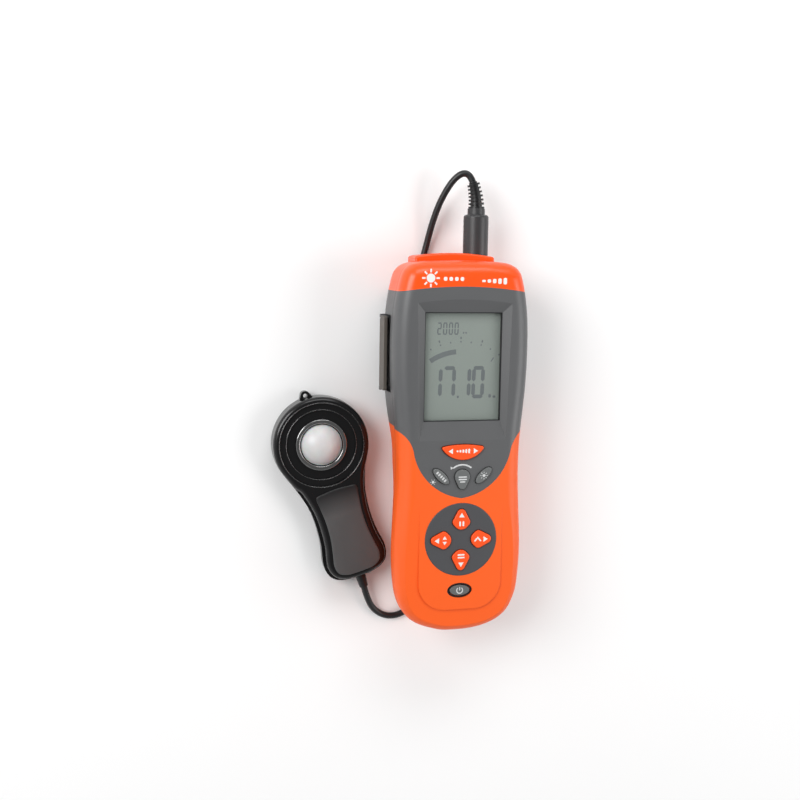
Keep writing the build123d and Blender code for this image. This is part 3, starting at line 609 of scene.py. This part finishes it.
def rounded_loop(points, steps=8):
    """Closed Catmull-Rom curve through the points."""
    loop = []
    for i in range(len(points)):
        p = [Vector(points[(i + k) % len(points)]) for k in (-1, 0, 1, 2)]
        for step in range(steps):
            t = step / steps
            loop.append(0.5 * (2 * p[1] + (p[2] - p[0]) * t + (2 * p[0] - 5 * p[1] + 4 * p[2] - p[3]) * t ** 2
                               + (3 * p[1] - p[0] - 3 * p[2] + p[3]) * t ** 3))
    return loop


def inset(loop, distance):
    """Loop moved inwards along its own normals; the loop runs clockwise."""
    count = len(loop)
    out = []
    for i in range(count):
        run = (loop[(i + 1) % count] - loop[i - 1]).normalized()
        out.append(loop[i] + Vector((run.y, -run.x)) * distance)
    return out


PANEL_HALF = [(11.6, -27.0), (11.3, -33.0), (10.5, -42.0), (10.8, -52.0), (12.2, -61.0), (13.2, -67.0),
              (12.0, -71.6), (8.0, -74.0), (3.0, -74.5)]
PANEL_LEVELS = [(0.0, 14.45), (0.10, 14.75), (0.45, 14.98), (1.1, 15.08)]


def handle_panel():
    """Low satin pad on the probe's handle, with rolled edges."""
    top = [(-7.0, -25.9), (0, -25.4), (7.0, -25.9)]
    loop = rounded_loop(top + PANEL_HALF + [(-x, y) for x, y in reversed(PANEL_HALF)])
    bm = bmesh.new()
    rows = [[bm.verts.new((p.x, p.y, z)) for p in inset(loop, distance)] for distance, z in PANEL_LEVELS]
    count = len(loop)
    for a, b in zip(rows, rows[1:]):
        for i in range(count):
            j = (i + 1) % count
            bm.faces.new((a[i], a[j], b[j], b[i]))
    crown = [bm.faces.new(rows[-1]), bm.faces.new(rows[0][::-1])]
    bmesh.ops.triangulate(bm, faces=crown)
    return piece("probe_handle_pad", bm, SATIN, "meter", PROBE, smooth=True)


# painted glints: pale beads along the edges of the head's two steps
bead_and_glint("probe_outer_glint_bead", 23.2, 14.45, 0.26, GLINT_BEAD_METAL)
bead_and_glint("probe_middle_glint_bead", 19.3, 12.85, 0.26, GLINT_BEAD_METAL)
bead_and_glint("dome_bead", 11.5, 12.75, 0.35, MATERIALS["probe_gloss"])
handle_panel()


# ---------------------------------------------------------------- studio
def area_light(name, place, size, power, size_y=None):
    """Soft rectangular light aimed at the origin."""
    light = bpy.data.lights.new(name, "AREA")
    light.energy = power
    light.shape = "RECTANGLE"
    light.size = size
    light.size_y = size_y or size
    lamp = link(bpy.data.objects.new(name, light))
    lamp.location = place
    lamp.rotation_euler = (-Vector(place)).to_track_quat("-Z", "Y").to_euler()


SKY_LOW, SKY_HIGH = 0.64, 0.20       # brightness near the horizon and overhead
FADE = (0.45, 0.9)                   # heights between which it changes
FLOOR_Z = -0.0002
FLOOR_HALF = 3.0


def make_sky():
    """White sky that darkens overhead, so that glossy tops stay dark."""
    world = bpy.data.worlds.new("studio")
    bpy.context.scene.world = world
    world.use_nodes = True
    tree = world.node_tree
    background = tree.nodes["Background"]
    background.inputs["Color"].default_value = (1, 1, 1, 1)
    height = tree.nodes.new("ShaderNodeSeparateXYZ")
    tree.links.new(tree.nodes.new("ShaderNodeTexCoord").outputs["Generated"], height.inputs[0])
    fade = tree.nodes.new("ShaderNodeMapRange")
    tree.links.new(height.outputs["Z"], fade.inputs["Value"])
    for socket, value in zip(("From Min", "From Max", "To Min", "To Max"), (*FADE, SKY_LOW, SKY_HIGH)):
        fade.inputs[socket].default_value = value
    tree.links.new(fade.outputs["Result"], background.inputs["Strength"])


def make_floor():
    bm = bmesh.new()
    bmesh.ops.create_grid(bm, x_segments=4, y_segments=4, size=FLOOR_HALF)
    mesh = bpy.data.meshes.new("floor")
    bm.to_mesh(mesh)
    bm.free()
    floor = link(bpy.data.objects.new("floor", mesh))
    floor.location.z = FLOOR_Z
    paper = Nodes("floor_paper")
    tone = paper.mix(paper.noise(0.3, 2), (0.93, 0.93, 0.93), (0.95, 0.95, 0.95))
    mesh.materials.append(paper.set(Base_Color=tone, Roughness=0.8, Specular_IOR_Level=0.1))


make_sky()
area_light("key_light", (-0.9, 0.45, 0.9), 0.7, 11.0)
area_light("fill_light", (1.0, -0.1, 0.8), 0.7, 6.0)
area_light("back_light", (0.1, 1.1, 0.8), 0.9, 5.0, 0.4)
bpy.context.scene.view_settings.view_transform = "Standard"
make_floor()
